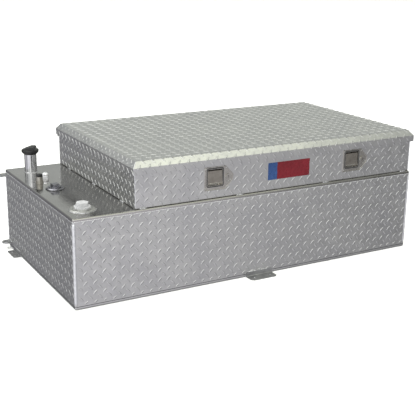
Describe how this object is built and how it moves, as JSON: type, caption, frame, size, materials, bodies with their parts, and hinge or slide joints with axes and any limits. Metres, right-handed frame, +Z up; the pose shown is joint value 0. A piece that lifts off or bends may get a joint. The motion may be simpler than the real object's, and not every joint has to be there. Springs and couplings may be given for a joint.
{
  "type": "truck bed transfer tank with toolbox",
  "caption": "Tread plate fuel transfer tank with a toolbox built on top: hinged bevelled lid on gas struts, paddle latches, capped filler neck and fittings on a bare shelf.",
  "frame": {"origin": "centre of the tank's underside, between the four bottom corners of the tank", "axes": "+X along the tank, away from the end with the filler; +Y to the rear, where the lid is hinged; +Z up"},
  "size_m": [1.602, 0.8405, 0.515],
  "materials": {
    "tread_plate": "bright tread plate, mill finish",
    "plain_sheet": "smooth, bright rolled",
    "mill_aluminium": "mill finish",
    "weld_bead": "as welded",
    "seal_rubber": "matte",
    "strut_black": "satin black paint",
    "plated_steel": "zinc plated",
    "stainless": "satin stainless",
    "polished_metal": "polished",
    "black_plastic": "moulded",
    "white_plastic": "moulded"
  },
  "bodies": {
    "tank": {"tank_wall": "tread_plate", "tank_top": "plain_sheet", "tank_bottom": "tread_plate", "baffle_left": "mill_aluminium", "baffle_right": "mill_aluminium", "box_front": "tread_plate", "box_rear": "tread_plate", "box_end_left": "tread_plate", "box_end_right": "tread_plate", "seam_welds": "weld_bead", "lid_seal": "seal_rubber", "hinge_leaf_box": "mill_aluminium", "hinge_pin": "plated_steel", "strut_stud_box_left": "plated_steel", "strut_stud_box_right": "plated_steel", "latch_plate_left": "stainless", "latch_plate_right": "stainless", "latch_bracket_left": "mill_aluminium", "latch_bracket_right": "mill_aluminium", "paddle_pin_left": "plated_steel", "paddle_pin_right": "plated_steel", "pawl_pin_left": "plated_steel", "pawl_pin_right": "plated_steel", "filler_neck": "polished_metal", "vent_body": "polished_metal", "vent_cap": "black_plastic", "breather": "mill_aluminium", "gauge_bung": "mill_aluminium", "gauge_plug": "polished_metal", "pump_flange": "mill_aluminium", "pump_plug": "white_plastic", "foot_front": "tread_plate", "foot_left": "tread_plate", "foot_right": "tread_plate", "foot_welds": "weld_bead", "lug_upper": "mill_aluminium", "lug_lower": "mill_aluminium"},
    "lid": {"lid_pan": "tread_plate", "lid_rib_left": "mill_aluminium", "lid_rib_middle": "mill_aluminium", "lid_rib_right": "mill_aluminium", "hinge_leaf_lid": "mill_aluminium", "strut_stud_lid_left": "mill_aluminium", "strut_stud_lid_right": "mill_aluminium", "striker_left": "mill_aluminium", "striker_right": "mill_aluminium"},
    "filler_plug": {"filler_plug": "black_plastic"},
    "filler_cap": {"filler_cap": "black_plastic"},
    "strut_tube_left": {"strut_tube_left": "strut_black"},
    "strut_rod_left": {"strut_rod_left": "plated_steel"},
    "paddle_left": {"latch_paddle_left": "stainless"},
    "pawl_left": {"latch_pawl_left": "plated_steel"},
    "lock_left": {"latch_lock_left": "stainless"},
    "strut_tube_right": {"strut_tube_right": "strut_black"},
    "strut_rod_right": {"strut_rod_right": "plated_steel"},
    "paddle_right": {"latch_paddle_right": "stainless"},
    "pawl_right": {"latch_pawl_right": "plated_steel"},
    "lock_right": {"latch_lock_right": "stainless"}
  },
  "joints": [
    {"name": "lid_hinge", "type": "hinge", "parent": "tank", "child": "lid", "pos_m": [0.117, 0.394, 0.4625], "axis": [-1, 0, 0], "range_deg": [0, 70]},
    {"name": "strut_tilt_left", "type": "hinge", "parent": "tank", "child": "strut_tube_left", "pos_m": [-0.481, 0.2205, 0.36], "axis": [-1, 0, 0], "range_deg": [0, 6.11]},
    {"name": "strut_slide_left", "type": "slide", "parent": "strut_tube_left", "child": "strut_rod_left", "axis": [0, 0.598, 0.8015], "range_m": [0, 0.0918]},
    {"name": "strut_tilt_right", "type": "hinge", "parent": "tank", "child": "strut_tube_right", "pos_m": [0.715, 0.2205, 0.36], "axis": [-1, 0, 0], "range_deg": [0, 6.11]},
    {"name": "strut_slide_right", "type": "slide", "parent": "strut_tube_right", "child": "strut_rod_right", "axis": [0, 0.598, 0.8015], "range_m": [0, 0.0918]},
    {"name": "paddle_left_pull", "type": "hinge", "parent": "tank", "child": "paddle_left", "pos_m": [-0.19478, -0.3785, 0.4465], "axis": [-1, 0, 0], "range_deg": [0, 36], "stiffness_Nm_per_rad": 0.2},
    {"name": "pawl_left_turn", "type": "hinge", "parent": "tank", "child": "pawl_left", "pos_m": [-0.19478, -0.3485, 0.4442], "axis": [1, 0, 0], "range_deg": [0, 18]},
    {"name": "lock_left_turn", "type": "hinge", "parent": "tank", "child": "lock_left", "pos_m": [-0.13978, -0.3875, 0.42], "axis": [0, 1, 0], "range_deg": [0, 90]},
    {"name": "paddle_right_pull", "type": "hinge", "parent": "tank", "child": "paddle_right", "pos_m": [0.44678, -0.3785, 0.4465], "axis": [-1, 0, 0], "range_deg": [0, 36], "stiffness_Nm_per_rad": 0.2},
    {"name": "pawl_right_turn", "type": "hinge", "parent": "tank", "child": "pawl_right", "pos_m": [0.44678, -0.3485, 0.4442], "axis": [1, 0, 0], "range_deg": [0, 18]},
    {"name": "lock_right_turn", "type": "hinge", "parent": "tank", "child": "lock_right", "pos_m": [0.50178, -0.3875, 0.42], "axis": [0, 1, 0], "range_deg": [0, 90]},
    {"name": "filler_plug_lift", "type": "slide", "parent": "tank", "child": "filler_plug", "axis": [0, 0, 1], "range_m": [0, 0.06]},
    {"name": "filler_cap_turn", "type": "hinge", "parent": "filler_plug", "child": "filler_cap", "pos_m": [-0.679, 0.3025, 0.416], "axis": [0, 0, 1], "range_deg": [0, 90]}
  ],
  "couplings": [
    {"joint": "strut_tilt_left", "follows": "lid_hinge", "ratio": 0.0866},
    {"joint": "strut_slide_left", "follows": "lid_hinge", "m_per_rad": 0.07508},
    {"joint": "strut_tilt_right", "follows": "lid_hinge", "ratio": 0.0866},
    {"joint": "strut_slide_right", "follows": "lid_hinge", "m_per_rad": 0.07508},
    {"joint": "pawl_left_turn", "follows": "paddle_left_pull", "ratio": 0.5},
    {"joint": "pawl_right_turn", "follows": "paddle_right_pull", "ratio": 0.5}
  ]
}
